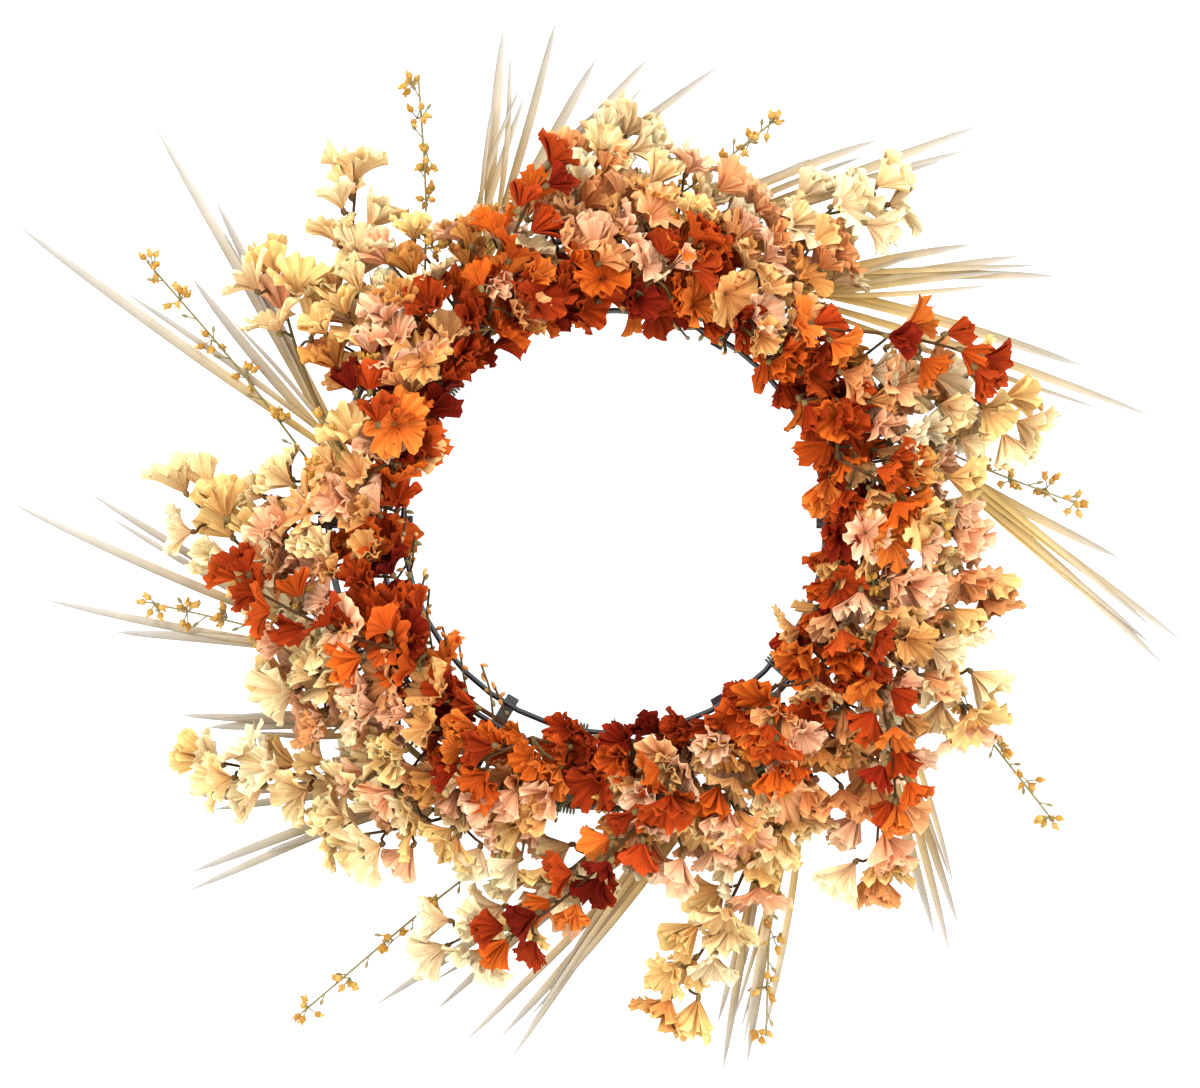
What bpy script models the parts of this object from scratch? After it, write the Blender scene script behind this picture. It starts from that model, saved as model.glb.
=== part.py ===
"""Harvest door wreath: a four-rail wire frame that carries taped-on picks of blades, berries and fabric blossoms.

Metres, +Z up. The wreath hangs upright in the XZ plane and faces -Y. The origin is where a door hook bears, on the
underside of the inner rail at its top. Places on the wreath are given as an angle in degrees, anticlockwise from
three o'clock as seen from the front, a radius in mm from the middle of the ring, and a depth in mm forward of the
door, which the backs of the cross ribs touch.
"""

import math

import bmesh
import bpy
from mathutils import Vector

MM = 0.001

# Wire frame
RAIL_RADII = {"inner": 130.0, "second": 145.0, "third": 161.0, "outer": 176.0}
RAIL_WIRE_RADIUS = {"inner": 2.0, "second": 2.0, "third": 2.0, "outer": 2.5}
RIB_THICKNESS = 3.0
RIB_WIDTH = 8.0
RIB_OVERHANG = 4.0
RIB_ANGLES = [0, 60, 120, 180, 240, 300]
GAP = 0.3
RAIL_STEPS = 40
RAIL_DEPTH = RIB_THICKNESS + GAP + RAIL_WIRE_RADIUS["outer"]

# Hanging loop, which turns on the outer rail at the top
LOOP_WIRE_RADIUS = 1.0
LOOP_EYE_RADIUS = RAIL_WIRE_RADIUS["outer"] + 0.5 + LOOP_WIRE_RADIUS
LOOP_HALF_WIDTH = 12.0
LOOP_LENGTH = 34.0
LOOP_EYE_END = 330

# Wire wraps that bind the stems on
WRAP_ANGLES = [20, 76, 140, 200, 260, 320]
WRAP_WIRE_RADIUS = 0.8
WRAP_CLEARANCE = 2.0
WRAP_BACK_DEPTH = 1.2
WRAP_FRONT_DEPTH = 9.8

# Stems leave the frame at ROOT_DEPTH and swirl outwards on spirals that keep one angle to the radius
ROOT_DEPTH = 13.0
SWIRL_DEGREES = 56.0
STEM_RADIUS = 1.5

# A spray's blossoms: the distance between two of them, and how narrow it is between them and at its ends
BLOSSOM_PITCH = 42.0
WAIST_SHARE = 0.72
END_SHARE = 0.6

# Each outer spray: name, angle and radius of its tip, depth of its blossoms
OUTER_ROOT_RADIUS = 152.0
OUTER_PLUMP_RADIUS = 172.0
OUTER_BLOSSOM_RADIUS = 13.5
OUTER_SPRAYS = [
    ("cream_spray_1", 140, 269, 50),
    ("cream_spray_2", 123, 278, 50),
    ("cream_spray_3", 84, 252, 50),
    ("cream_spray_4", 45, 272, 50),
    ("cream_spray_5", 10, 268, 50),
    ("peach_spray_1", -16, 244, 50),
    ("cream_spray_6", -33, 259, 50),
    ("peach_spray_2", -57, 280, 50),
    ("cream_spray_7", -87, 308, 50),
    ("cream_spray_8", 244.6, 294, 50),
    ("cream_spray_9", 225, 270, 57),
    ("cream_spray_10", 207, 302, 43),
    ("peach_spray_3", 202, 235, 50),
    ("cream_spray_11", 172, 279, 50),
]

# Each inner spray, which stands in front of the outer ones: name, angle and radius of its tip
INNER_ROOT_RADIUS = 139.0
INNER_DEPTH = 92.0
INNER_BLOSSOM_RADIUS = 20.0
INNER_SPRAYS = [
    ("rust_spray_1", 94.7, 232),
    ("rust_spray_2", 65, 195),
    ("rust_spray_3", 19.4, 256),
    ("rust_spray_4", 357, 195),
    ("rust_spray_5", 310, 254),
    ("rust_spray_6", 296, 195),
    ("rust_spray_7", 251, 274),
    ("rust_spray_8", 230, 195),
    ("rust_spray_9", 183.5, 244),
    ("rust_spray_10", 146, 195),
]

# Each blade pick: name, root angle and radius, and the tip of each blade
BLADE_DEPTH = 15.0
BLADE_HALF_WIDTH = 3.6
BLADE_HALF_THICKNESS = 0.8
BLADE_BOW = 3.0
PICK_ROOT_RADIUS = 2.4
PICK_ROOT_LENGTH = 16.0
BLADE_PICKS = [
    ("blade_pick_1", 165, 181, [(139.3, 371), (141, 315), (150, 299), (153.6, 408), (155.9, 343)]),
    ("blade_pick_2", 203, 190, [(178.3, 369), (177, 321), (187.8, 352), (192.4, 314)]),
    ("blade_pick_3", 219, 200, [(204, 291), (206.8, 279)]),
    ("blade_pick_4", 238, 186, [(215.6, 303), (219.6, 337), (220.9, 345)]),
    ("blade_pick_5", 284, 180, [(243.7, 330), (250, 318), (254, 331), (257.6, 323), (259.2, 334)]),
    ("blade_pick_6", 304, 192, [(281.2, 342), (281.6, 314), (283.7, 342)]),
    ("blade_pick_7", 327, 195, [(307.9, 334), (307.8, 320), (310.5, 324)]),
    ("blade_pick_8", 14, 190, [(-4.1, 310), (-11.8, 355), (-12.8, 337), (-14.6, 348)]),
    ("blade_pick_9", 50, 188, [(11.2, 335), (18.4, 303), (29.1, 310), (33.3, 297), (37.9, 277)]),
    ("blade_pick_10", 76, 190, [(47.4, 330), (46.7, 313), (55.4, 285)]),
    ("blade_pick_11", 113, 192, [(77.3, 286), (85.7, 286), (92.2, 285), (96.7, 309), (102.7, 310)]),
]

# Each berry sprig: name, root angle and the angle and radius of its tip
SPRIG_ROOT_RADIUS = 164.0
SPRIG_DEPTH = 26.0
SPRIG_STEM_RADIUS = 1.2
SPRIG_CLUSTER_RADIUS = 4.6
SPRIG_CLUSTERS = 4
BERRY_SPRIGS = [
    ("berry_sprig_1", 136, 114, 295),
    ("berry_sprig_2", 178, 151, 326),
    ("berry_sprig_3", 214, 190, 287),
    ("berry_sprig_4", 264, 237.6, 354),
    ("berry_sprig_5", 311, 286.5, 326),
    ("berry_sprig_6", 349, 325.8, 323),
    ("berry_sprig_7", 25, 2.3, 283),
    ("berry_sprig_8", 95, 68.6, 262),
]

COLOURS = {
    "rail": ((0.02, 0.022, 0.03), 0.25, 0.6),
    "wrap": ((0.10, 0.12, 0.05), 0.5, 0.3),
    "cream": ((0.93, 0.78, 0.45), 0.85, 0.0),
    "peach": ((0.95, 0.62, 0.38), 0.85, 0.0),
    "rust": ((0.72, 0.22, 0.05), 0.85, 0.0),
    "blade": ((0.80, 0.68, 0.42), 0.7, 0.0),
    "berry": ((0.70, 0.48, 0.10), 0.6, 0.0),
}


def clear_scene():
    for old in list(bpy.data.objects):
        bpy.data.objects.remove(old, do_unlink=True)


def material(name, look):
    """A Principled material with this look's colour, roughness and metallic value."""
    colour, roughness, metallic = COLOURS[look]
    made = bpy.data.materials.new(name)
    made.use_nodes = True
    shader = made.node_tree.nodes["Principled BSDF"]
    shader.inputs["Base Color"].default_value = (*colour, 1.0)
    shader.inputs["Roughness"].default_value = roughness
    shader.inputs["Metallic"].default_value = metallic
    return made


def ring_centre():
    """An empty at the middle of the ring, which everything is laid out about."""
    empty = bpy.data.objects.new("ring_centre", None)
    empty.location = Vector((0, RAIL_DEPTH, RAIL_WIRE_RADIUS["inner"] - RAIL_RADII["inner"])) * MM
    bpy.context.scene.collection.objects.link(empty)
    return empty


def polar(angle, radius, depth):
    """A point relative to the ring's centre, in metres."""
    turn = math.radians(angle)
    return Vector((radius * math.cos(turn), -depth, radius * math.sin(turn))) * MM


def add(name, data, look, parent):
    made = bpy.data.objects.new(name, data)
    made.parent = parent
    data.materials.append(material(name, look))
    bpy.context.scene.collection.objects.link(made)
    return made


def tube(name, points, radii, look, parent, sides=8, closed=False):
    """A round tube through the points, with its own radius in mm at each."""
    curve = bpy.data.curves.new(name, "CURVE")
    curve.dimensions = "3D"
    curve.bevel_depth = MM
    curve.bevel_resolution = sides // 2 - 2
    curve.use_fill_caps = not closed
    spline = curve.splines.new("POLY")
    spline.points.add(len(points) - 1)
    for knot, point, radius in zip(spline.points, points, radii):
        knot.co = (*point, 1.0)
        knot.radius = radius
    spline.use_cyclic_u = closed
    spline.use_smooth = True
    return add(name, curve, look, parent)


def mesh_object(name, shape, look, parent):
    """A mesh object from a bmesh, with its faces turned outwards."""
    bmesh.ops.recalc_face_normals(shape, faces=shape.faces)
    mesh = bpy.data.meshes.new(name)
    shape.to_mesh(mesh)
    shape.free()
    return add(name, mesh, look, parent)


def spiral(tip_angle, tip_radius, root_radius, steps):
    """Angles and radii from the root out to the tip, along a spiral at one angle to the radius."""
    places = []
    for step in range(steps + 1):
        radius = root_radius + (tip_radius - root_radius) * step / steps
        places.append((tip_angle + SWIRL_DEGREES * math.log(tip_radius / radius), radius))
    return places


def add_rails(parent):
    for name, radius in RAIL_RADII.items():
        points = [polar(360 * step / RAIL_STEPS, radius, RAIL_DEPTH) for step in range(RAIL_STEPS)]
        wire = [RAIL_WIRE_RADIUS[name]] * RAIL_STEPS
        tube(f"frame_{name}_rail", points, wire, "rail", parent, sides=6, closed=True)


def add_ribs(parent):
    """Flat straps across the rails, whose back faces rest on the door."""
    inside = RAIL_RADII["inner"] - RAIL_WIRE_RADIUS["inner"] - RIB_OVERHANG
    outside = RAIL_RADII["outer"] + RAIL_WIRE_RADIUS["outer"] + RIB_OVERHANG
    for number, angle in enumerate(RIB_ANGLES, 1):
        shape = bmesh.new()
        bmesh.ops.create_cube(shape, size=1.0)
        size = Vector((outside - inside, RIB_THICKNESS, RIB_WIDTH)) * MM
        bmesh.ops.scale(shape, vec=size, verts=shape.verts)
        rib = mesh_object(f"frame_cross_rib_{number}", shape, "rail", parent)
        rib.location = polar(angle, (inside + outside) / 2, RIB_THICKNESS / 2)
        rib.rotation_euler = (0, -math.radians(angle), 0)


def add_hanging_loop(parent):
    """A wire loop, whose two eyes turn on the outer rail at the top. It is stored hanging down behind the rails."""
    rail_dip = LOOP_HALF_WIDTH * math.tan(math.pi / RAIL_STEPS)
    pivot = polar(90, RAIL_RADII["outer"] - rail_dip, RAIL_DEPTH)
    side = []
    for turn in range(LOOP_EYE_END, -1, -30):
        around = math.radians(turn)
        side.append((LOOP_HALF_WIDTH, LOOP_EYE_RADIUS * math.cos(around), LOOP_EYE_RADIUS * math.sin(around)))
    for drop in (0.35, 0.7):
        side.append((LOOP_HALF_WIDTH, LOOP_EYE_RADIUS, -LOOP_LENGTH * drop))
    for turn in (0, 30, 60):
        around = math.radians(turn)
        reach = LOOP_HALF_WIDTH * math.cos(around)
        side.append((reach, LOOP_EYE_RADIUS, -LOOP_LENGTH - LOOP_HALF_WIDTH * math.sin(around)))
    bottom = [(0, LOOP_EYE_RADIUS, -LOOP_LENGTH - LOOP_HALF_WIDTH)]
    other = [(-x, y, z) for x, y, z in reversed(side)]
    points = [Vector(point) * MM for point in side + bottom + other]
    loop = tube("hanging_loop", points, [LOOP_WIRE_RADIUS] * len(points), "rail", parent, sides=6)
    loop.location = pivot


def add_wraps(parent):
    """Binding wire bent once round all four rails, in a plane that holds the ring's axis."""
    inside = RAIL_RADII["inner"] - RAIL_WIRE_RADIUS["inner"] - WRAP_CLEARANCE - WRAP_WIRE_RADIUS
    outside = RAIL_RADII["outer"] + RAIL_WIRE_RADIUS["outer"] + WRAP_CLEARANCE + WRAP_WIRE_RADIUS
    corner = (WRAP_FRONT_DEPTH - WRAP_BACK_DEPTH) / 2
    middle = (WRAP_FRONT_DEPTH + WRAP_BACK_DEPTH) / 2
    for number, angle in enumerate(WRAP_ANGLES, 1):
        points = []
        for end, first in ((outside - corner, -90), (inside + corner, 90)):
            for turn in range(first, first + 181, 45):
                around = math.radians(turn)
                place = end + corner * math.cos(around)
                points.append(polar(angle, place, middle + corner * math.sin(around)))
        wire = [WRAP_WIRE_RADIUS] * len(points)
        tube(f"binding_wrap_{number}", points, wire, "wrap", parent, sides=6, closed=True)


def spray(name, tip, root_radius, plump_radius, depth, blossom, look, parent):
    """A bare stem that comes forward off the frame, then a row of blossoms, plump and narrow by turns."""
    tip_angle, tip_radius = tip
    root_angle, _ = spiral(tip_angle, tip_radius, root_radius, 1)[0]
    points = [
        polar(root_angle, root_radius, ROOT_DEPTH),
        polar(root_angle, root_radius, (ROOT_DEPTH + depth) / 2),
        polar(root_angle - 1, root_radius + 1, depth),
    ]
    radii = [STEM_RADIUS] * 3
    steps = 2 * max(2, round(2 * (tip_radius - plump_radius) / BLOSSOM_PITCH))
    for step, (angle, radius) in enumerate(spiral(tip_angle, tip_radius, plump_radius, steps)):
        points.append(polar(angle, radius, depth))
        radii.append(blossom * (WAIST_SHARE if step % 2 else 1.0))
    radii[3] = radii[-1] = blossom * END_SHARE
    tube(name, points, radii, look, parent)


def add_sprays(parent):
    for name, angle, radius, depth in OUTER_SPRAYS:
        look = name.split("_")[0]
        place = (OUTER_ROOT_RADIUS, OUTER_PLUMP_RADIUS, depth, OUTER_BLOSSOM_RADIUS)
        spray(name, (angle, radius), *place, look, parent)
    for name, angle, radius in INNER_SPRAYS:
        place = (INNER_ROOT_RADIUS, INNER_ROOT_RADIUS + 4, INNER_DEPTH, INNER_BLOSSOM_RADIUS)
        spray(name, (angle, radius), *place, "rust", parent)


def add_blade(name, root, tip, parent):
    """A lance-shaped blade of rhombic section, pointed at both ends and bowed a little."""
    along = (tip - root).normalized()
    across = along.cross(Vector((0, 1, 0))).normalized()
    shape = bmesh.new()
    rings = []
    for share, width in ((0.12, 0.55), (0.45, 1.0), (0.8, 0.8)):
        bow = across * (BLADE_BOW * MM * math.sin(math.pi * share))
        middle = root.lerp(tip, share) + bow
        wide = across * (BLADE_HALF_WIDTH * width * MM)
        thick = Vector((0, BLADE_HALF_THICKNESS * MM, 0))
        rings.append([shape.verts.new(middle + part) for part in (wide, thick, -wide, -thick)])
    ends = (shape.verts.new(root), shape.verts.new(tip))
    for end, ring in zip(ends, (rings[0], rings[-1])):
        for corner in range(4):
            shape.faces.new((end, ring[corner], ring[(corner + 1) % 4]))
    for near, far in zip(rings, rings[1:]):
        for corner in range(4):
            after = (corner + 1) % 4
            shape.faces.new((near[corner], near[after], far[after], far[corner]))
    return mesh_object(name, shape, "blade", parent)


def add_blade_picks(parent):
    """Fans of blades, each fused with the taped stem end that its blades come out of."""
    for name, angle, radius, tips in BLADE_PICKS:
        root = polar(angle, radius, BLADE_DEPTH)
        ends = [polar(tip_angle, tip_radius, BLADE_DEPTH) for tip_angle, tip_radius in tips]
        out = (sum(ends, Vector()) / len(ends) - root).normalized() * (PICK_ROOT_LENGTH * MM)
        points = [root - out, root - out * 0.5, root + out * 0.3, root + out]
        girth = [PICK_ROOT_RADIUS * 0.6, PICK_ROOT_RADIUS, PICK_ROOT_RADIUS, PICK_ROOT_RADIUS * 0.6]
        pick = tube(name, points, girth, "blade", parent, sides=6)
        mesh = bpy.data.meshes.new_from_object(pick.evaluated_get(bpy.context.evaluated_depsgraph_get()))
        bpy.data.objects.remove(pick, do_unlink=True)
        shape = bmesh.new()
        shape.from_mesh(mesh)
        bmesh.ops.remove_doubles(shape, verts=shape.verts, dist=0.00001)
        pick = mesh_object(name, shape, "blade", parent)
        blades = bpy.data.collections.new(f"{name}_blades")
        for number, end in enumerate(ends, 1):
            blade = add_blade(f"{name}_blade_{number}", root, end, parent)
            blade.hide_render = True
            blade.display_type = "WIRE"
            blades.objects.link(blade)
        union = pick.modifiers.new("blades", "BOOLEAN")
        union.operation = "UNION"
        union.operand_type = "COLLECTION"
        union.collection = blades
        union.use_self = True


def add_sprigs(parent):
    """Thin stems with small clusters of berries along their outer half and at the tip."""
    for name, root_angle, tip_angle, tip_radius in BERRY_SPRIGS:
        root = polar(root_angle, SPRIG_ROOT_RADIUS, ROOT_DEPTH)
        lift = polar(root_angle - 2, SPRIG_ROOT_RADIUS + 5, SPRIG_DEPTH)
        tip = polar(tip_angle, tip_radius, SPRIG_DEPTH)
        points = [root, lift]
        radii = [SPRIG_STEM_RADIUS] * 2
        reach = (tip - lift).length / MM
        for cluster in range(SPRIG_CLUSTERS):
            middle = 0.5 + 0.48 * cluster / (SPRIG_CLUSTERS - 1)
            for offset, radius in ((-5.5, SPRIG_STEM_RADIUS), (0, SPRIG_CLUSTER_RADIUS), (5.5, SPRIG_STEM_RADIUS)):
                points.append(lift.lerp(tip, middle + offset / reach))
                radii.append(radius)
        tube(name, points, radii, "berry", parent, sides=6)


def main():
    clear_scene()
    centre = ring_centre()
    add_rails(centre)
    add_ribs(centre)
    add_hanging_loop(centre)
    add_wraps(centre)
    add_sprays(centre)
    add_blade_picks(centre)
    add_sprigs(centre)


main()
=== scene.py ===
"""Looks of the harvest door wreath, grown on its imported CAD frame. Metres, +Z up; the wreath faces -Y.

Every place comes from the frame: the ring's middle and radii from the rails, and the line of each spray,
blade and sprig from its own CAD solid. Angles run anticlockwise from three o'clock, as seen from the front.
"""

import math

import bpy
import numpy as np
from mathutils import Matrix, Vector


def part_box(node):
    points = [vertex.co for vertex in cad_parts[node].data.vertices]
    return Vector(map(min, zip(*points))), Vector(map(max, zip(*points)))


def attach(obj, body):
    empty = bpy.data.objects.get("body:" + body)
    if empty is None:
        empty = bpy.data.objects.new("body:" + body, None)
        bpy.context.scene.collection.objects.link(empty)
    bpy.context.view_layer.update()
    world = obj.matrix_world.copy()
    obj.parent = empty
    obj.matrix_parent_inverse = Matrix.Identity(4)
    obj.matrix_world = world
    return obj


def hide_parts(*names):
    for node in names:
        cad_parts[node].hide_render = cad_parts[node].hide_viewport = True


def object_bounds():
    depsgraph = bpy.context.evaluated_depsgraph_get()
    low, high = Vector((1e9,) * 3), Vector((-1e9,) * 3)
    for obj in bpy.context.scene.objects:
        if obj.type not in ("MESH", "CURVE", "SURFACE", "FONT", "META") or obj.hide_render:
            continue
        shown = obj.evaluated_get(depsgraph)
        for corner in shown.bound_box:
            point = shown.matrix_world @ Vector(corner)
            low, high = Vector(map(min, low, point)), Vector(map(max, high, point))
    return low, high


MM = 0.001
SEED = 11
WREATH = "wreath"
UP = Vector((0, 0, 1))
FRONT = Vector((0, -1, 0))

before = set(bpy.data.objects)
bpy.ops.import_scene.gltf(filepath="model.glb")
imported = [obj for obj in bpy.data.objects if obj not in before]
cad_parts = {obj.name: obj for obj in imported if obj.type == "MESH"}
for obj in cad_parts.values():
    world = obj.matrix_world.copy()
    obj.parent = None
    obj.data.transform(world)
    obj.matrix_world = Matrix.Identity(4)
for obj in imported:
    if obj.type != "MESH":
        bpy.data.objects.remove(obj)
cad_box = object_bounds()
draw = np.random.RandomState(SEED)

# The ring, measured on the rails and ribs
inner_low, inner_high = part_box("frame_inner_rail")
outer_low, outer_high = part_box("frame_outer_rail")
CENTRE = (inner_low + inner_high) / 2
INNER_RADIUS = (inner_high.x - inner_low.x) / 2
OUTER_RADIUS = (outer_high.x - outer_low.x) / 2
DOOR_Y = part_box("frame_cross_rib_1")[1].y
CORE_RADIUS = (INNER_RADIUS + OUTER_RADIUS) / 2 + 4 * MM
CORE_DEPTH = 44 * MM


# ---------------------------------------------------------------- geometry helpers


def radial(angle):
    turn = math.radians(angle)
    return Vector((math.cos(turn), 0, math.sin(turn)))


def clockwise(angle):
    turn = math.radians(angle)
    return Vector((math.sin(turn), 0, -math.cos(turn)))


def place(angle, radius, depth):
    """The point at this angle, radius from the ring's middle and depth forward of the door, in metres."""
    spot = CENTRE + radial(angle) * radius
    return Vector((spot.x, DOOR_Y - depth, spot.z))


def polar_of(point):
    """The angle, radius and depth of a point."""
    x, z = point[0] - CENTRE.x, point[2] - CENTRE.z
    return math.degrees(math.atan2(z, x)), math.hypot(x, z), DOOR_Y - point[1]


def nodes_named(*starts):
    """The CAD nodes whose names start so, in order of name."""
    return sorted(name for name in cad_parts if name.startswith(starts))


def node_points(name):
    """The corners of a CAD node, one row each."""
    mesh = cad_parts[name].data
    points = np.empty(len(mesh.vertices) * 3)
    mesh.vertices.foreach_get("co", points)
    return points.reshape(-1, 3)


def between(low, high):
    return low + (high - low) * draw.rand()


def jitter(size):
    return Vector(draw.normal(0, size, 3))


def basis(axis):
    """Three unit vectors, the last along axis."""
    axis = axis.normalized()
    side = axis.cross(UP if abs(axis.z) < 0.9 else Vector((1, 0, 0))).normalized()
    return side, axis.cross(side), axis


def smooth_line(points, steps):
    """Points evenly along a Catmull-Rom curve through the given ones."""
    points = [Vector(p) for p in points]
    padded = [points[0] * 2 - points[1]] + points + [points[-1] * 2 - points[-2]]
    line = []
    for index in range(steps + 1):
        along = index / steps * (len(points) - 1)
        first = min(int(along), len(points) - 2)
        t = along - first
        a, b, c, d = padded[first : first + 4]
        line.append(
            (b * 2 + (c - a) * t + (a * 2 - b * 5 + c * 4 - d) * t * t + (b * 3 - a - c * 3 + d) * t**3) / 2
        )
    return line


BLOB_RINGS = 5
SKIN, STALK = 0, 1  # a piece's two materials: petals, blades or berries first, and stems second
NORMAL_WEIGHT = 90


class Shape:
    """Collects faces with a tint, and how far across its petal or blade each corner is."""

    def __init__(self, ragged=0.0):
        self.ragged = ragged
        self.points, self.faces, self.slots = [], [], []
        self.tints, self.across = [], []

    def grid(self, rows, tints, slot, across, closed=False):
        """A sheet, or a tube when closed, through rows of points."""
        start = len(self.points)
        wide = len(rows[0])
        for row, row_tints in zip(rows, tints):
            self.points.extend(tuple(point) for point in row)
            self.tints.extend(row_tints)
            self.across.extend(across)
        last = wide if closed else wide - 1
        for row in range(len(rows) - 1):
            for column in range(last):
                here = start + row * wide + column
                beside = start + row * wide + (column + 1) % wide
                self.faces.append((here, beside, beside + wide, here + wide))
                self.slots.append(slot)
        if closed:
            self.faces.append(tuple(start + column for column in reversed(range(wide))))
            end = start + (len(rows) - 1) * wide
            self.faces.append(tuple(end + column for column in range(wide)))
            self.slots.extend([slot, slot])

    def tube(self, line, radii, tint, slot, sides=6):
        """A tapered tube round a line, with a closed end at each tip."""
        side, other, _ = basis(line[1] - line[0])
        rows = []
        for index, (point, radius) in enumerate(zip(line, radii)):
            ahead = line[min(index + 1, len(line) - 1)] - line[max(index - 1, 0)]
            ahead.normalize()
            side = (side - ahead * side.dot(ahead)).normalized()
            other = ahead.cross(side)
            turns = [2 * math.pi * step / sides for step in range(sides)]
            rows.append([point + (side * math.cos(t) + other * math.sin(t)) * radius for t in turns])
        self.grid(rows, [[tint] * sides] * len(rows), slot, [step / sides for step in range(sides)], True)

    def blob(self, middle, axis, length, radius, tint, slot):
        """A small egg with blunt ends, such as a bud or a berry."""
        shares = [ring / BLOB_RINGS for ring in range(BLOB_RINGS + 1)]
        line = [middle + axis * (length * (share - 0.5)) for share in shares]
        radii = [radius * max(0.25, math.sin(math.pi * (0.08 + 0.84 * share))) for share in shares]
        self.tube(line, radii, tint, slot)

    def to_object(self, name, materials, thickness=0.0):
        mesh = bpy.data.meshes.new(name)
        mesh.from_pydata(self.points, [], self.faces)
        mesh.polygons.foreach_set("material_index", self.slots)
        mesh.polygons.foreach_set("use_smooth", [True] * len(self.faces))
        tint = mesh.attributes.new("tint", "FLOAT_COLOR", "POINT")
        tint.data.foreach_set("color", np.array([(*t, 1.0) for t in self.tints], np.float32).ravel())
        across = mesh.attributes.new("across", "FLOAT", "POINT")
        across.data.foreach_set("value", np.array(self.across, np.float32))
        for material in materials:
            mesh.materials.append(material)
        made = bpy.data.objects.new(name, mesh)
        bpy.context.scene.collection.objects.link(made)
        if thickness:
            solid = made.modifiers.new("thickness", "SOLIDIFY")
            solid.thickness = thickness
            solid.offset = 0
            normals = made.modifiers.new("normals", "WEIGHTED_NORMAL")
            normals.weight = NORMAL_WEIGHT
        return made


def keep(made, node):
    """The piece rides on the wreath and stands for its CAD node."""
    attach(made, WREATH)
    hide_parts(node)


# ---------------------------------------------------------------- materials


def new_material(name, roughness):
    made = bpy.data.materials.new(name)
    made.use_nodes = True
    nodes, links = made.node_tree.nodes, made.node_tree.links
    shader = nodes["Principled BSDF"]
    shader.inputs["Roughness"].default_value = roughness
    return made, nodes, links, shader


def noise(nodes, links, scale, detail):
    """A noise texture in the object's own coordinates."""
    coordinates = nodes.new("ShaderNodeTexCoord")
    texture = nodes.new("ShaderNodeTexNoise")
    texture.inputs["Scale"].default_value = scale
    texture.inputs["Detail"].default_value = detail
    links.new(coordinates.outputs["Object"], texture.inputs["Vector"])
    return texture


def attribute(nodes, name):
    """Reads a layer of the mesh."""
    found = nodes.new("ShaderNodeAttribute")
    found.attribute_name = name
    return found


def tinted_by(nodes, links, colour, factor_socket, low, high):
    """The colour, made darker or lighter between low and high as the factor goes from 0 to 1."""
    ramp = nodes.new("ShaderNodeMapRange")
    ramp.inputs["To Min"].default_value = low
    ramp.inputs["To Max"].default_value = high
    shade = nodes.new("ShaderNodeVectorMath")
    shade.operation = "SCALE"
    links.new(factor_socket, ramp.inputs["Value"])
    links.new(colour, shade.inputs[0])
    links.new(ramp.outputs["Result"], shade.inputs["Scale"])
    return shade.outputs["Vector"]


def bump(nodes, links, shader, height, strength, distance):
    """Shades the surface as if it rose with the height."""
    made = nodes.new("ShaderNodeBump")
    made.inputs["Strength"].default_value = strength
    made.inputs["Distance"].default_value = distance
    links.new(height, made.inputs["Height"])
    links.new(made.outputs["Normal"], shader.inputs["Normal"])


def stripes(nodes, links, count):
    """A wave that runs along a petal or blade, from how far across it a point is."""
    across = attribute(nodes, "across")
    wave = nodes.new("ShaderNodeMath")
    wave.operation = "MULTIPLY"
    wave.inputs[1].default_value = count * math.pi
    sine = nodes.new("ShaderNodeMath")
    sine.operation = "SINE"
    links.new(across.outputs["Fac"], wave.inputs[0])
    links.new(wave.outputs["Value"], sine.inputs[0])
    return sine.outputs["Value"]


PETAL_VEINS = 11
BLADE_FIBRES = 3
WEAVE_SHARE = 0.6


def petal_material():
    """Thin woven fabric: tint from the petal, mottled dye, pressed veins and a fine weave."""
    made, nodes, links, shader = new_material("petal_fabric", roughness=0.82)
    tint = attribute(nodes, "tint")
    mottle = noise(nodes, links, scale=160, detail=4)
    colour = tinted_by(nodes, links, tint.outputs["Color"], mottle.outputs["Fac"], low=0.80, high=1.22)
    veins = stripes(nodes, links, PETAL_VEINS)
    colour = tinted_by(nodes, links, colour, veins, low=1.0, high=0.90)
    links.new(colour, shader.inputs["Base Color"])
    weave = noise(nodes, links, scale=1900, detail=2)
    both = nodes.new("ShaderNodeMath")
    both.operation = "MULTIPLY_ADD"
    both.inputs[1].default_value = WEAVE_SHARE
    links.new(weave.outputs["Fac"], both.inputs[0])
    links.new(veins, both.inputs[2])
    bump(nodes, links, shader, both.outputs["Value"], strength=0.35, distance=0.6 * MM)
    shader.inputs["Specular IOR Level"].default_value = 0.08
    return made


def blade_material():
    """Dried blade: long fibres and pale flecks."""
    made, nodes, links, shader = new_material("straw_blade", roughness=0.7)
    tint = attribute(nodes, "tint")
    flecks = noise(nodes, links, scale=70, detail=4)
    colour = tinted_by(nodes, links, tint.outputs["Color"], flecks.outputs["Fac"], low=0.84, high=1.14)
    fibres = stripes(nodes, links, BLADE_FIBRES)
    colour = tinted_by(nodes, links, colour, fibres, low=0.94, high=1.04)
    links.new(colour, shader.inputs["Base Color"])
    shader.inputs["Specular IOR Level"].default_value = 0.15
    return made


def stem_material(name, roughness, low, high):
    """Paper-wrapped wire or a dry bud: the tint, broken up by grain."""
    made, nodes, links, shader = new_material(name, roughness)
    tint = attribute(nodes, "tint")
    grain = noise(nodes, links, scale=420, detail=6)
    colour = tinted_by(nodes, links, tint.outputs["Color"], grain.outputs["Fac"], low, high)
    links.new(colour, shader.inputs["Base Color"])
    bump(nodes, links, shader, grain.outputs["Fac"], strength=0.5, distance=0.8 * MM)
    shader.inputs["Specular IOR Level"].default_value = 0.2
    return made


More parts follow.
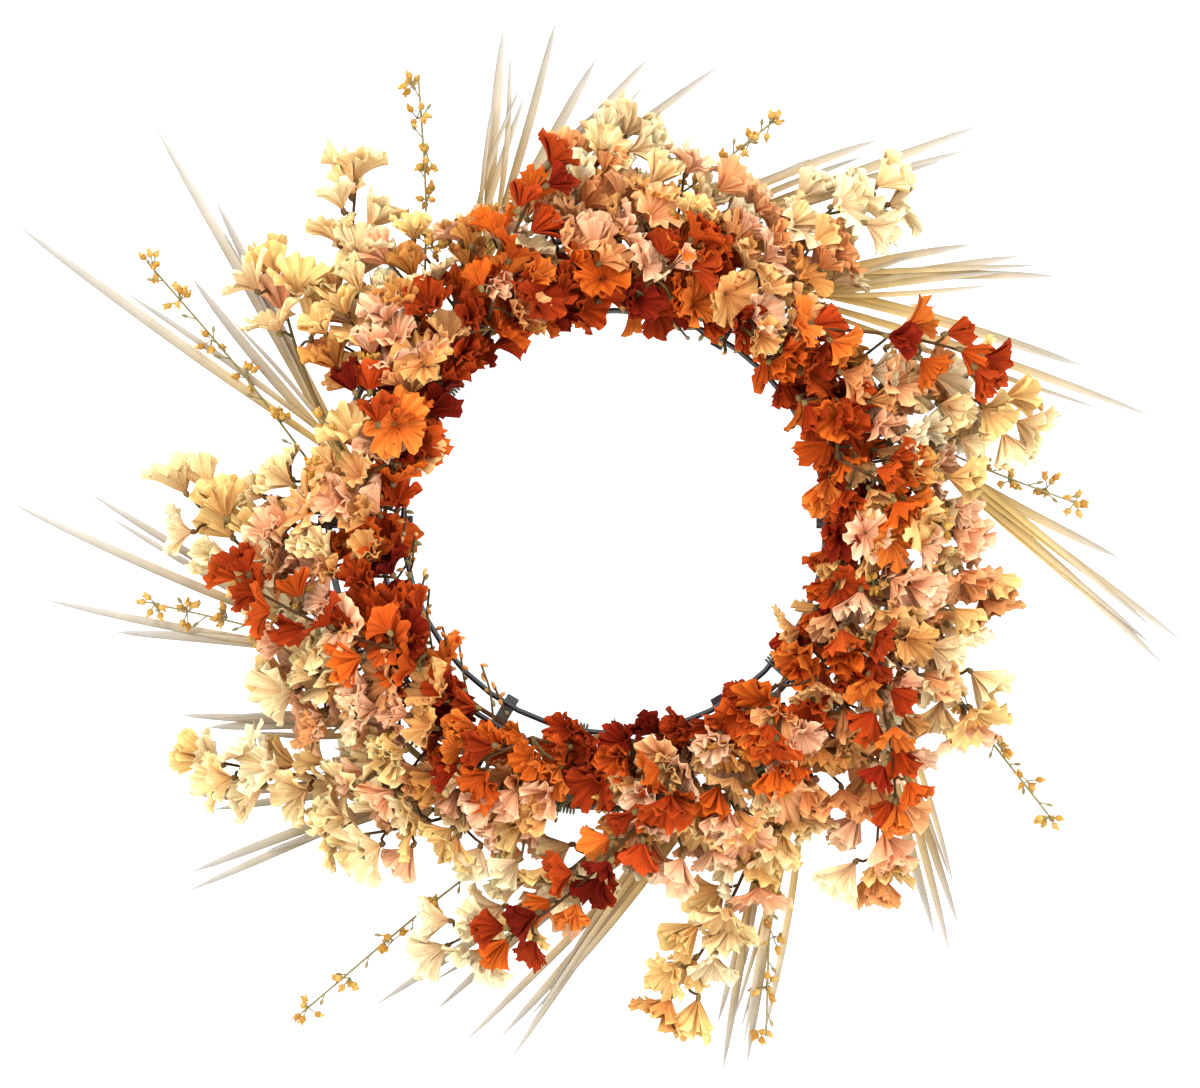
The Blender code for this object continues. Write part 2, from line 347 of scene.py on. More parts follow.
def metal_material(name, dark, light, roughness, grain):
    """Lacquered wire, its colour and shine broken up by small runs in the lacquer."""
    made, nodes, links, shader = new_material(name, roughness)
    runs = noise(nodes, links, scale=grain, detail=3)
    colours = nodes.new("ShaderNodeValToRGB")
    colours.color_ramp.elements[0].color = (*dark, 1)
    colours.color_ramp.elements[1].color = (*light, 1)
    links.new(runs.outputs["Fac"], colours.inputs["Fac"])
    links.new(colours.outputs["Color"], shader.inputs["Base Color"])
    spread = nodes.new("ShaderNodeMapRange")
    spread.inputs["To Min"].default_value = roughness * 0.7
    spread.inputs["To Max"].default_value = roughness * 1.6
    links.new(runs.outputs["Fac"], spread.inputs["Value"])
    links.new(spread.outputs["Result"], shader.inputs["Roughness"])
    bump(nodes, links, shader, runs.outputs["Fac"], strength=0.25, distance=0.6 * MM)
    shader.inputs["Coat Weight"].default_value = 0.6
    return made


PETAL = petal_material()
BLADE = blade_material()
STEM = stem_material("wrapped_stem", roughness=0.75, low=0.6, high=1.35)
BERRY = stem_material("dry_berry", roughness=0.6, low=0.7, high=1.3)
BLACKS = (0.006, 0.006, 0.009), (0.022, 0.023, 0.030)
GREENS = (0.018, 0.024, 0.008), (0.075, 0.090, 0.032)
RAIL_METAL = metal_material("black_lacquer", *BLACKS, roughness=0.22, grain=90)
WIRE_METAL = metal_material("green_binding_wire", *GREENS, roughness=0.4, grain=300)


# ---------------------------------------------------------------- blossoms

CREAM = [(0.86, 0.61, 0.29), (0.89, 0.67, 0.36), (0.84, 0.54, 0.20), (0.90, 0.72, 0.43)]
PEACH = [(0.82, 0.40, 0.17), (0.87, 0.45, 0.24), (0.79, 0.34, 0.12), (0.88, 0.50, 0.29)]
TAN = [(0.74, 0.36, 0.11), (0.78, 0.42, 0.15), (0.64, 0.26, 0.06)]
ORANGE = [(0.62, 0.11, 0.010), (0.70, 0.165, 0.022), (0.55, 0.085, 0.008)]
RUST = [(0.43, 0.048, 0.006), (0.50, 0.070, 0.008), (0.32, 0.030, 0.004)]
MAROON = [(0.17, 0.009, 0.002), (0.25, 0.015, 0.003)]
GOLD = [(0.50, 0.28, 0.05), (0.58, 0.36, 0.09), (0.42, 0.20, 0.03)]
OLIVE = [(0.24, 0.20, 0.08), (0.31, 0.26, 0.12)]
TWIG = [(0.16, 0.10, 0.035), (0.22, 0.15, 0.05), (0.12, 0.06, 0.02)]


def pick(colours):
    return np.array(colours[draw.randint(len(colours))])


PETAL_COLUMNS = 13
PETAL_ROWS = 5
PETAL_THICKNESS = 0.35 * MM
NECK = 0.06  # how far from the blossom's base a petal starts, as a share of its length
SPLIT_WIDTH = 0.17
EDGE_ROUND = 0.14
FRILL_TURN = 9  # radians of the frill's wave from a petal's middle to its side


def midline(lean_start, lean_end, length, share):
    """How far out and how far up a petal's middle has gone at this share of its length."""
    mean = lean_start + (lean_end - lean_start) * share / 2
    return math.sin(mean) * length * share, math.cos(mean) * length * share


def add_petal(shape, base, axes, turn, length, lean, colour):
    """A fan with a torn, frilled edge, pleated from its neck, which leans out from the blossom's axis."""
    side, other, axis = axes
    outward = side * math.cos(turn) + other * math.sin(turn)
    sideways = other * math.cos(turn) - side * math.sin(turn)
    fan = math.radians(between(27, 42))
    split, split_at = between(0.05, 0.32), between(-0.3, 0.3)
    tears = draw.uniform(0, shape.ragged, PETAL_COLUMNS)
    pleats = between(2.4, 4.2)
    pleat_phase = between(0, 2 * math.pi)
    pleat_height = length * between(0.05, 0.09)
    # How strongly the pleats are painted darker in their valleys and lighter on their ridges
    pleat_shading = between(0.06, 0.16)
    frill_height = length * between(0.0, 0.08)
    cup, twist = between(-0.3, 0.6), between(-0.4, 0.4)
    lean_start, lean_end = (math.radians(value + between(-12, 12)) for value in lean)
    shares = np.linspace(-1, 1, PETAL_COLUMNS)
    rows, tints = [], []
    for row in range(PETAL_ROWS + 1):
        along = NECK + (1 - NECK) * row / PETAL_ROWS
        line, shades = [], []
        for across, tear in zip(shares, tears):
            notch = split * math.exp(-(((across - split_at) / SPLIT_WIDTH) ** 2))
            edge = 1 - along**3 * (EDGE_ROUND * across * across + notch + tear)
            ahead = along * edge * math.cos(fan * across)
            aside = length * along * edge * math.sin(fan * across)
            out, rise = midline(lean_start, lean_end, length, ahead)
            tilt = lean_start + (lean_end - lean_start) * ahead
            normal = outward * -math.cos(tilt) + axis * math.sin(tilt)
            pleat = math.sin(math.pi * pleats * across + pleat_phase)
            frill = math.sin(FRILL_TURN * across + pleat_phase)
            fold = pleat_height * along * pleat + frill_height * along**4 * frill
            bend = cup * aside * aside / length + twist * aside * along
            line.append(base + outward * out + axis * rise + sideways * aside + normal * (fold + bend))
            depth = 0.74 + 0.26 * min(1, along * 1.6)  # painted shade, darker down in the throat, and a painted highlight, palest at the rim
            # Painted shade in each pleat's valleys and painted light on its ridges, plus a painted highlight
            # along the rim; the painted shade turns redder as it deepens
            shade = depth * (1 + pleat_shading * along * pleat) + 0.12 * along**6
            shades.append(tuple(np.clip(colour * (shade, shade**2, shade**2.6), 0, 1)))
        rows.append(line)
        tints.append(shades)
    shape.grid(rows, tints, SKIN, list(shares))


# Degrees that a blossom's petals lean out from its axis, at the neck and at the rim
LEANS = [(10, 46), (22, 74), (28, 92), (6, 32), (16, 58)]


def add_blossom(shape, base, axis, size, colour, joint):
    """Four to six petals round a small cup, on a short stalk from the joint on the spray's stem."""
    axis = axis.normalized()
    axes = basis(axis)
    petals = draw.randint(4, 7)
    lean = LEANS[draw.randint(len(LEANS))]
    first = between(0, 2 * math.pi)
    for number in range(petals):
        turn = first + 2 * math.pi * (number + between(-0.18, 0.18)) / petals
        tone = colour * between(0.78, 1.18)
        add_petal(shape, base, axes, turn, size * between(0.85, 1.12), lean, tone)
    twig = pick(TWIG) * 0.6
    foot, head = base - axis * 2.4 * MM, base + axis * 2.2 * MM
    shape.tube([foot, base, head], [0.9 * MM, 2.0 * MM, 1.2 * MM], twig * 1.7, STALK)
    line = smooth_line([joint, joint.lerp(base, 0.5) + axis * 2 * MM, base - axis * 2 * MM], 4)
    shape.tube(line, [0.8 * MM] * 5, twig, STALK, sides=5)


def family(options):
    """A colour from a list of (share, colours), the last of which takes what share is left."""
    roll = draw.rand()
    for share, colours in options:
        if roll < share:
            return pick(colours)
        roll -= share
    return pick(options[-1][1])


def add_buds(shape, middle, along, size, slot):
    """Five to seven small golden buds on short stalks, each with three beaks."""
    for _ in range(draw.randint(5, 8)):
        way = (along * 0.4 + jitter(0.75)).normalized()
        bud = middle + way * size * between(0.8, 1.4)
        stalk = [middle, middle.lerp(bud, 0.6), bud]
        shape.tube(stalk, [0.4 * MM] * 3, pick(OLIVE), STALK, sides=5)
        shape.blob(bud, way, 5.0 * MM, 2.3 * MM, pick(GOLD), slot)
        for _ in range(3):
            beak = (way + jitter(0.35)).normalized()
            shape.blob(bud + beak * 2.6 * MM, beak, 3.0 * MM, 0.9 * MM, pick(GOLD) * 1.2, slot)


# ---------------------------------------------------------------- sprays

PLUMP_STEPS = 8
PLUMP_DEPTH = 36 * MM  # the front of a CAD spray that is thicker than its stem
TIP_REACH = 14 * MM  # the outermost part of that front, which counts as the tip
LONG_SPRAY = 210 * MM  # an inner spray that reaches further has blossoms all the way to its tip
LAST_BLOSSOM = 18 * MM  # how far the last blossom reaches past the end of its stem
STEM_BEHIND = 9 * MM  # how far the stem runs behind the middle of the CAD spray
STEM_STEPS = 34
STEM_GIRTH = (1.5 * MM, 0.7 * MM)
TAIL_DEPTH = 12.2 * MM
TAIL_TURNS = (26, 18, 10, 4)  # degrees anticlockwise from the root
RAGGED_INNER, RAGGED_OUTER = 0.11, 0.06
NO_LIMIT = 400 * MM  # beyond every tip
INNER_STEM = np.array((0.10, 0.040, 0.012))


def rear_middle(points):
    """The middle of a node's rearmost face, where it lies on the frame."""
    return Vector(points[points[:, 1] > points[:, 1].max() - 0.5 * MM].mean(axis=0))


class Spray:
    """One CAD spray: its root on the frame, and its line of blossoms, a spiral that swirls clockwise."""

    def __init__(self, node):
        points = node_points(node)
        self.node = node
        self.root = rear_middle(points)
        plump = points[points[:, 1] < points[:, 1].min() + PLUMP_DEPTH]
        radii = np.hypot(plump[:, 0] - CENTRE.x, plump[:, 2] - CENTRE.z)
        depth = float(DOOR_Y - (plump[:, 1].min() + plump[:, 1].max()) / 2)
        tip = plump[radii > radii.max() - TIP_REACH].mean(axis=0)
        tip_angle, tip_radius, _ = polar_of(tip)
        root_angle, root_radius, _ = polar_of(self.root)
        self.depth, self.tip_radius = depth, tip_radius
        swing = (root_angle - tip_angle) % 360
        self.line = []
        for step in range(PLUMP_STEPS + 1):
            radius = root_radius + (tip_radius - LAST_BLOSSOM - root_radius) * step / PLUMP_STEPS
            share = math.log(radius / root_radius) / math.log(tip_radius / root_radius)
            self.line.append(place(root_angle - swing * share, radius, depth - STEM_BEHIND))
        self.shape = Shape(RAGGED_INNER if node.startswith("rust") else RAGGED_OUTER)

    def nearest(self, point):
        """The joint on the spray's line that is nearest to this point."""
        return min(self.line, key=lambda joint: (joint - point).length)


outer_sprays = [Spray(node) for node in nodes_named("cream_spray", "peach_spray")]
inner_sprays = [Spray(node) for node in nodes_named("rust_spray")]


def host_of(point, sprays):
    """The spray whose line passes nearest to this point."""
    return min(sprays, key=lambda spray: (spray.nearest(point) - point).length)


def draw_stem(spray, arch):
    """The spray's wire: a tail along the frame, up off it, and out along the blossoms, ever thinner."""
    angle, radius, depth = polar_of(spray.root)
    tail = [place(angle + turn, radius + 2 * MM, TAIL_DEPTH) for turn in TAIL_TURNS]
    rise = place(angle, radius + arch, (depth + spray.depth) / 2)
    line = smooth_line(tail + [rise] + spray.line[1:], STEM_STEPS)
    radii = list(np.linspace(*STEM_GIRTH, STEM_STEPS + 1))
    tint = INNER_STEM if spray in inner_sprays else pick(TWIG) * 0.75
    spray.shape.tube(line, radii, tint, STALK)


FINE_STEPS = 60
GOLDEN_TURN = math.radians(137)
OUTER_TIPS = {"spacing": 8.5 * MM, "spread": 13 * MM, "size": 28 * MM, "front": 0.2}
INNER_TIPS = {"spacing": 10 * MM, "spread": 10 * MM, "size": 22 * MM, "front": -0.2}
OUTER_START, INNER_START, INNER_END = 188 * MM, 146 * MM, 172 * MM


def tip_blossoms(spray, start_radius, end_radius, colours, spacing, spread, size, front):
    """Blossoms on short stalks, to each side and the front by turns, between these radii."""
    fine = smooth_line(spray.line, FINE_STEPS)
    fine = [point for point in fine if start_radius < polar_of(point)[1] < end_radius]
    travelled, side_turn = 0.0, between(0, 6)
    for here, after in zip(fine, fine[1:]):
        travelled += (after - here).length
        if travelled < spacing:
            continue
        travelled = 0.0
        along = (after - here).normalized()
        across = along.cross(FRONT).normalized()
        side_turn += GOLDEN_TURN
        offset = across * math.cos(side_turn) + FRONT * (front + 0.6 * math.sin(side_turn))
        base = here + FRONT * STEM_BEHIND + offset * spread * between(0.6, 1.1) + along * 4 * MM
        axis = along + offset * 0.65 + jitter(0.15)
        if reaches(base, axis, BARE_ARCS):
            continue
        add_blossom(spray.shape, base, axis, size * between(0.85, 1.1), family(colours(here)), here)
    along = (fine[-1] - fine[-2]).normalized()
    end = fine[-1] + FRONT * STEM_BEHIND * 0.4 + along * 4 * MM
    add_blossom(spray.shape, end, along + jitter(0.12), size, family(colours(end)), fine[-1])


CREAM_START, CREAM_RUN = 176 * MM, 44 * MM


def outer_colours(spray):
    """Peach and tan by the frame, cream further out."""
    peachy = spray.node.startswith("peach")

    def colours(point):
        out = (polar_of(point)[1] - CREAM_START) / CREAM_RUN
        cream = min(0.95, max(0.2, out)) * (0.45 if peachy else 1.0)
        return [(cream, CREAM), (0.9 * (1 - cream), PEACH), (1, TAN)]

    return colours


def inner_colours(_):
    """Half rust, a third orange and the rest maroon, all the way out."""
    return [(0.50, RUST), (0.34, ORANGE), (1, MAROON)]


# The body of the wreath: blossoms all over the front of a ring-shaped core
BODY_ROWS = [
    # direction round the core's section (0 inwards, 90 forwards), core radius, how many, colours
    (62, 12, 34, [(0.40, RUST), (0.25, MAROON), (1, ORANGE)]),
    (118, 14, 36, [(0.25, ORANGE), (0.35, TAN), (1, PEACH)]),
    (150, 24, 38, [(0.35, TAN), (1, PEACH)]),
    (-62, 20, 30, [(0.40, RUST), (0.30, MAROON), (1, ORANGE)]),
    (-38, 25, 30, [(0.40, RUST), (0.40, MAROON), (1, ORANGE)]),
    (-22, 20, 26, [(0.40, RUST), (0.50, MAROON), (1, ORANGE)]),
    (2, 24, 46, [(0.45, RUST), (0.33, MAROON), (1, ORANGE)]),
    (28, 30, 44, [(0.46, RUST), (0.24, MAROON), (0.24, ORANGE), (1, TAN)]),
    (54, 34, 46, [(0.38, RUST), (0.18, MAROON), (0.28, ORANGE), (0.10, TAN), (1, PEACH)]),
    (78, 35, 46, [(0.30, RUST), (0.08, MAROON), (0.26, ORANGE), (0.20, TAN), (1, PEACH)]),
    (102, 36, 48, [(0.14, RUST), (0.18, ORANGE), (0.22, TAN), (0.06, CREAM), (1, PEACH)]),
    (126, 38, 50, [(0.03, ORANGE), (0.16, TAN), (0.24, CREAM), (1, PEACH)]),
    (150, 38, 48, [(0.10, TAN), (0.40, CREAM), (1, PEACH)]),
    (174, 38, 48, [(0.06, TAN), (0.50, CREAM), (1, PEACH)]),
    (160, 54, 62, [(0.04, TAN), (0.60, CREAM), (1, PEACH)]),
]
BODY_SIZE = 23.5 * MM
REAR_TURN = -30  # rows turned further back than this keep clear of the door
REAR_SIZE = 0.75
LONGEST_STALK = 30 * MM
SWIRL = math.radians(44)
# Where nothing grows, and where only the body is open: angles from and to, and radii from and to
BARE_ARCS = [(153, 169, 174, 300), (35, 46, 181, 236), (98, 106, 222, 300)]
OPEN_ARCS = BARE_ARCS + [
    (97, 120, 210, 300),
    (66, 76, 222, 300),
    (263, 272, 172, 232),
    (178, 186, 100, 136),
    (226, 238, 100, 138),
    (314, 322, 100, 136),
]
# Arcs between which blossoms by the opening are few, and where the body's middle runs to rust or to peach
SPARSE_ARCS = [(0, 80), (176, 262), (304, 324)]
SPARSE_SHARE = 0.6
SPARSE_TURNS = (-45, 40)
RUSTY_ARCS = [(6, 74), (100, 118), (186, 201), (240, 270), (304, 334)]
RUSTY_BAND = (134 * MM, 162 * MM)
PEACHY_ARCS = [(336, 360), (40, 96), (128, 180), (274, 302)]
PEACHY_BAND = (141 * MM, 192 * MM)
RUSTY_SHARE = 0.4
PEACHY_SHARE = 0.7
MOUTH_REACH = 14 * MM


def within(angle, arcs):
    """Whether this angle lies in one of these arcs."""
    return any(first <= angle % 360 <= last for first, last in arcs)


def body_colour(point, colours):
    """A colour of this row, or in the body's middle perhaps one that its arc runs to."""
    angle, radius, _ = polar_of(point)
    rusty = RUSTY_BAND[0] < radius < RUSTY_BAND[1] and within(angle, RUSTY_ARCS)
    peachy = PEACHY_BAND[0] < radius < PEACHY_BAND[1] and within(angle, PEACHY_ARCS)
    if rusty and draw.rand() < RUSTY_SHARE:
        return pick(RUST + ORANGE)
    if peachy and draw.rand() < PEACHY_SHARE:
        return pick(PEACH + TAN)
    return family(colours)


def is_open(point, arcs):
    """Whether this point lies in one of these arcs, between its two radii in mm."""
    angle, radius, _ = polar_of(point)
    angle, radius = angle % 360, radius / MM
    return any(first <= angle <= last and near <= radius <= far for first, last, near, far in arcs)


def reaches(base, axis, arcs):
    """Whether a blossom's base or mouth lies in one of these arcs."""
    return is_open(base, arcs) or is_open(base + axis.normalized() * MOUTH_REACH, arcs)


def is_thinned(turn, angle):
    """Whether to leave out this blossom by the opening. Most rear ones stay, because they hide the rails."""
    share = SPARSE_SHARE if turn > 0 else SPARSE_SHARE * 0.4
    by_opening = SPARSE_TURNS[0] < turn < SPARSE_TURNS[1]
    return by_opening and within(angle, SPARSE_ARCS) and draw.rand() < share


def fill_body():
    """Blossoms in rows round the core. Those facing inwards are on inner sprays, the rest on outer ones."""
    for turn, core, count, colours in BODY_ROWS:
        for number in range(count):
            angle = 360 * (number + between(-0.3, 0.3)) / count + turn
            section = math.radians(turn + between(-10, 10))
            out_way = radial(angle) * -math.cos(section) + FRONT * math.sin(section)
            middle = place(angle, CORE_RADIUS, CORE_DEPTH)
            base = middle + out_way * core * MM * between(0.85, 1.08)
            swirl = radial(angle) * math.cos(SWIRL) + clockwise(angle) * math.sin(SWIRL)
            axis = out_way * 0.7 + swirl * 0.9 + jitter(0.3)
            size = BODY_SIZE * between(0.85, 1.12)
            if turn < REAR_TURN:
                axis.y, size = -abs(axis.y), size * REAR_SIZE
            if reaches(base, axis, OPEN_ARCS) or is_thinned(turn, angle):
                continue
            host = host_of(base, inner_sprays if turn < 90 else outer_sprays)
            near = host.nearest(base)
            joint = near if (near - base).length < LONGEST_STALK else middle
            add_blossom(host.shape, base, axis, size, body_colour(base, colours), joint)


FILLER_COUNT = 34
FILLER_BAND = (158, 200)
FILLER_DEPTH = (56, 80)
EDGE_TWIGS = [(183, 238, 12), (60, 76, 3)]  # the arcs that they stand in, and how many


def add_filler():
    """Small golden buds between the blossoms, and thin twigs with tiny leaves by the opening."""
    for number in range(FILLER_COUNT):
        angle = 360 * (number + between(-0.4, 0.4)) / FILLER_COUNT
        middle = place(angle, between(*FILLER_BAND) * MM, between(*FILLER_DEPTH) * MM)
        host = host_of(middle, outer_sprays)
        along = radial(angle) + clockwise(angle)
        near = host.nearest(middle)
        line = smooth_line([near, near.lerp(middle, 0.5) + jitter(3 * MM), middle], 4)
        host.shape.tube(line, [0.6 * MM] * 5, pick(OLIVE), STALK, sides=5)
        add_buds(host.shape, middle, along.normalized(), 6 * MM, STALK)
    for first, last, count in EDGE_TWIGS:
        for number in range(count):
            angle = first + (last - first) * (number + between(0.2, 0.8)) / count
            start = place(angle + 6, 142 * MM, 22 * MM)
            tip = place(angle - between(4, 10), between(117, 127) * MM, between(34, 52) * MM)
            line = smooth_line([start, start.lerp(tip, 0.5) + jitter(3 * MM), tip], 6)
            host = host_of(start, inner_sprays)
            host.shape.tube(line, [0.6 * MM] * 7, pick(TWIG) * 0.7, STALK, sides=5)
            for point in line[2:]:
                way = jitter(1).normalized()
                host.shape.blob(point + way * 2.4 * MM, way, 5 * MM, 1.3 * MM, pick(TAN + OLIVE), STALK)


def build_sprays():
    for spray in outer_sprays:
        draw_stem(spray, arch=6 * MM)
        tip_blossoms(spray, OUTER_START, NO_LIMIT, outer_colours(spray), **OUTER_TIPS)
    for spray in inner_sprays:
        draw_stem(spray, arch=3 * MM)
        end_radius = NO_LIMIT if spray.tip_radius > LONG_SPRAY else INNER_END
        tip_blossoms(spray, INNER_START, end_radius, inner_colours, **INNER_TIPS)
    fill_body()
    add_filler()
    for spray in outer_sprays + inner_sprays:
        made = spray.shape.to_object(f"{spray.node}_blossoms", [PETAL, STEM], PETAL_THICKNESS)
        keep(made, spray.node)


# ---------------------------------------------------------------- blades

BLADE_ROWS = 14
BLADE_THICKNESS = 0.4 * MM
BLADE_FOLD = 0.25
SHORTEST_BLADE = 60 * MM
PICK_TAIL_DEPTH = 12.5 * MM
PICK_TAIL_TURNS = (16, 11, 6)
TIP_GAP = 6 * MM
MAIN_WIDTHS = (5.4, 6.8)
THIN_WIDTHS = (2.6, 4.6)
MOST_THIN = 2
STRAW_ROOT = np.array((0.76, 0.49, 0.12))
STRAW_GOLD = np.array((0.76, 0.55, 0.22))
STRAW_GREY = np.array((0.50, 0.43, 0.32))
STRAW_TIP = np.array((0.46, 0.44, 0.41))
# Painted shade and painted light across a blade, at one edge, the middle fold and the other edge: one half
# of the fold darker, the other lighter
FOLD_SIDE_SHADING = (0.66, 0.92, 1.06)


def pick_tips(node):
    """The tips of a fan of blades: points further from its root than every point they share an edge with."""
    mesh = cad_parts[node].data
    points = node_points(node)
    near_ring = np.hypot(points[:, 0] - CENTRE.x, points[:, 2] - CENTRE.z)
    root = points[near_ring.argsort()[:6]].mean(axis=0)
    far = np.linalg.norm(points - root, axis=1)
    keyed = {}
    for index, point in enumerate(points):
        keyed.setdefault(tuple(np.round(point, 5)), []).append(index)
    group = {index: key for key, members in keyed.items() for index in members}
    highest = {key: True for key in keyed}
    for edge in mesh.edges:
        a, b = edge.vertices
        if group[a] == group[b]:
            continue
        highest[group[a if far[a] < far[b] else b]] = False
    root, tips = Vector(root), []
    for key, top in highest.items():
        tip = Vector(key)
        if not top or (tip - root).length < SHORTEST_BLADE:
            continue
        if all((tip - other).length > TIP_GAP for other in tips):
            tips.append(tip)
    return root, tips


def add_blade(shape, root, tip, width, bow, lift, tone, middle_colour):
    """A long narrow blade, folded along its middle, which bows to one side and arches forward."""
    along = (tip - root).normalized()
    across = along.cross(FRONT).normalized()
    rows, tints = [], []
    roll = between(-0.45, 0.45)
    for row in range(BLADE_ROWS + 1):
        share = row / BLADE_ROWS
        rise = math.sin(math.pi * share)
        middle = root.lerp(tip, share) + across * (bow * rise) + FRONT * (lift * rise)
        half = width / 2 * min(1, 0.5 + 1.2 * share) * max(0.02, 1 - share**6) ** 0.7
        turn = roll * (1 - 0.5 * share)
        flat = across * math.cos(turn) + FRONT * math.sin(turn)
        up = FRONT * math.cos(turn) - across * math.sin(turn)
        fold = half * BLADE_FOLD
        rows.append([middle - flat * half + up * fold, middle, middle + flat * half + up * fold])
        if share < 0.5:
            colour = STRAW_ROOT + (middle_colour - STRAW_ROOT) * (share * 2)
        else:
            colour = middle_colour + (STRAW_TIP - middle_colour) * (share * 2 - 1)
        colour = np.clip(colour * tone, 0, 1)
        # One half of the fold in painted shade, the other in painted light
        tints.append([tuple(np.clip(colour * side, 0, 1)) for side in FOLD_SIDE_SHADING])
    shape.grid(rows, tints, SKIN, [-1, 0, 1])


def build_blades():
    """Each pick's blades, with thinner ones beside some of them, and its taped stem end."""
    for node in nodes_named("blade_pick"):
        root, tips = pick_tips(node)
        shape = Shape()
        golden = 0.5 + 0.5 * math.cos(math.radians(polar_of(root)[0]))
        middle_colour = STRAW_GREY + (STRAW_GOLD - STRAW_GREY) * golden
        for tip in tips:
            reach = tip - root
            foot = root + reach.cross(FRONT).normalized() * between(-6, 6) * MM
            end = tip - reach.normalized() * MM
            width, bow = between(*MAIN_WIDTHS) * MM, between(-3, 3) * MM
            add_blade(shape, foot, end, width, bow, 4 * MM, between(0.94, 1.1), middle_colour)
            for _ in range(draw.randint(MOST_THIN + 1)):
                shorter = root + reach * between(0.66, 0.97)
                aside = reach.cross(FRONT).normalized() * between(-9, 9) * MM
                start = root + aside
                end = shorter + aside + FRONT * between(2, 12) * MM
                width, bow = between(*THIN_WIDTHS) * MM, between(-4, 4) * MM
                add_blade(shape, start, end, width, bow, 5 * MM, between(0.88, 1.12), middle_colour)
        angle, radius, _ = polar_of(root)
        tail = [place(angle + turn, radius, PICK_TAIL_DEPTH) for turn in PICK_TAIL_TURNS] + [root]
        shape.tube(smooth_line(tail, 8), [2.2 * MM] * 9, pick(TWIG), STALK)
        keep(shape.to_object(f"{node}_blades", [BLADE, STEM], BLADE_THICKNESS), node)


# ---------------------------------------------------------------- berry sprigs

SPRIG_CLUSTERS = 5
SPRIG_STEPS = 24
SPRIG_TAIL_DEPTH = 12 * MM
FIRST_LEAF = 9
SPRIG_GIRTH = (1.1 * MM, 0.6 * MM)


def build_sprigs():
    """Each sprig's thin stem, leaflets to both sides by turns, and bud clusters towards its tip."""
    for node in nodes_named("berry_sprig"):
        points = node_points(node)
        root = rear_middle(points)
        far = np.linalg.norm(points - np.array(root), axis=1)
        tip = Vector(points[far > far.max() - 1.2 * MM].mean(axis=0))
        angle, radius, _ = polar_of(root)
        lift = place(angle - 2, radius + 5 * MM, polar_of(tip)[2])
        along = (tip - lift).normalized()
        across = along.cross(FRONT).normalized()
        bend = lift.lerp(tip, 0.5) + across * 3 * MM
        tail = place(angle + 12, radius, SPRIG_TAIL_DEPTH)
        line = smooth_line([tail, root, lift, bend, tip], SPRIG_STEPS)
        shape = Shape()
        shape.tube(line, list(np.linspace(*SPRIG_GIRTH, SPRIG_STEPS + 1)), pick(OLIVE), STALK)
        leaf_side = 1
        for index in range(FIRST_LEAF, SPRIG_STEPS):
            leaf_side = -leaf_side
            way = (along + across * leaf_side * 0.8 + jitter(0.2)).normalized()
            twig = line[index] + way * between(5, 9) * MM
            stalk = [line[index], line[index].lerp(twig, 0.5), twig]
            shape.tube(stalk, [0.45 * MM] * 3, pick(OLIVE), STALK, sides=5)
            shape.blob(twig, way, 4.6 * MM, 1.2 * MM, pick(OLIVE), STALK)
        reach = (tip - lift).length
        for cluster in range(SPRIG_CLUSTERS):
            share = 0.5 + 0.47 * cluster / (SPRIG_CLUSTERS - 1)
            last = cluster == SPRIG_CLUSTERS - 1
            middle = tip - along * 4 * MM if last else line[round(8 + 16 * share)]
            middle += across * between(-3, 3) * MM
            add_buds(shape, middle, along, min(6.5 * MM, reach * 0.07), SKIN)
        keep(shape.to_object(f"{node}_buds", [BERRY, STEM]), node)


# ---------------------------------------------------------------- frame and binding

WRAP_TURNS = 6
WRAP_PITCH = 2.1 * MM
WRAP_SIDES = 20
WRAP_WIRE = 0.75 * MM
WRAP_SQUARENESS = 0.45  # 1 makes each turn round, and less makes it squarer
UNTINTED = (1, 1, 1)  # the binding wire's metal reads no tint
CREASE = math.radians(50)


def squared(value):
    return math.copysign(abs(value) ** WRAP_SQUARENESS, value)


def build_wraps():
    """Each binding is several turns of wire round the rails."""
    for node in nodes_named("binding_wrap"):
        points = node_points(node)
        angle, _, _ = polar_of(points.mean(axis=0))
        radii = np.hypot(points[:, 0] - CENTRE.x, points[:, 2] - CENTRE.z)
        low, high = radii.min() + WRAP_WIRE, radii.max() - WRAP_WIRE
        near, far = DOOR_Y - points[:, 1].max() + WRAP_WIRE, DOOR_Y - points[:, 1].min() - WRAP_WIRE
        line = []
        for step in range(WRAP_TURNS * WRAP_SIDES + 1):
            turn = 2 * math.pi * step / WRAP_SIDES
            radius = (high + low) / 2 + (high - low) / 2 * squared(math.cos(turn))
            depth = (near + far) / 2 + (far - near) / 2 * squared(math.sin(turn))
            aside = clockwise(angle) * (step / WRAP_SIDES - WRAP_TURNS / 2) * WRAP_PITCH
            line.append(place(angle, radius, depth) + aside)
        shape = Shape()
        shape.tube(line, [WRAP_WIRE] * len(line), UNTINTED, SKIN)
        keep(shape.to_object(f"{node}_turns", [WIRE_METAL]), node)


def dress_frame():
    """The rails, ribs and loop keep their CAD meshes and get the black lacquer."""
    for name in nodes_named("frame_", "hanging_loop"):
        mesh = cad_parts[name].data
        mesh.materials.clear()
        mesh.materials.append(RAIL_METAL)
        mesh.shade_smooth()
        mesh.set_sharp_from_angle(angle=CREASE)


# ---------------------------------------------------------------- camera, lights and floor

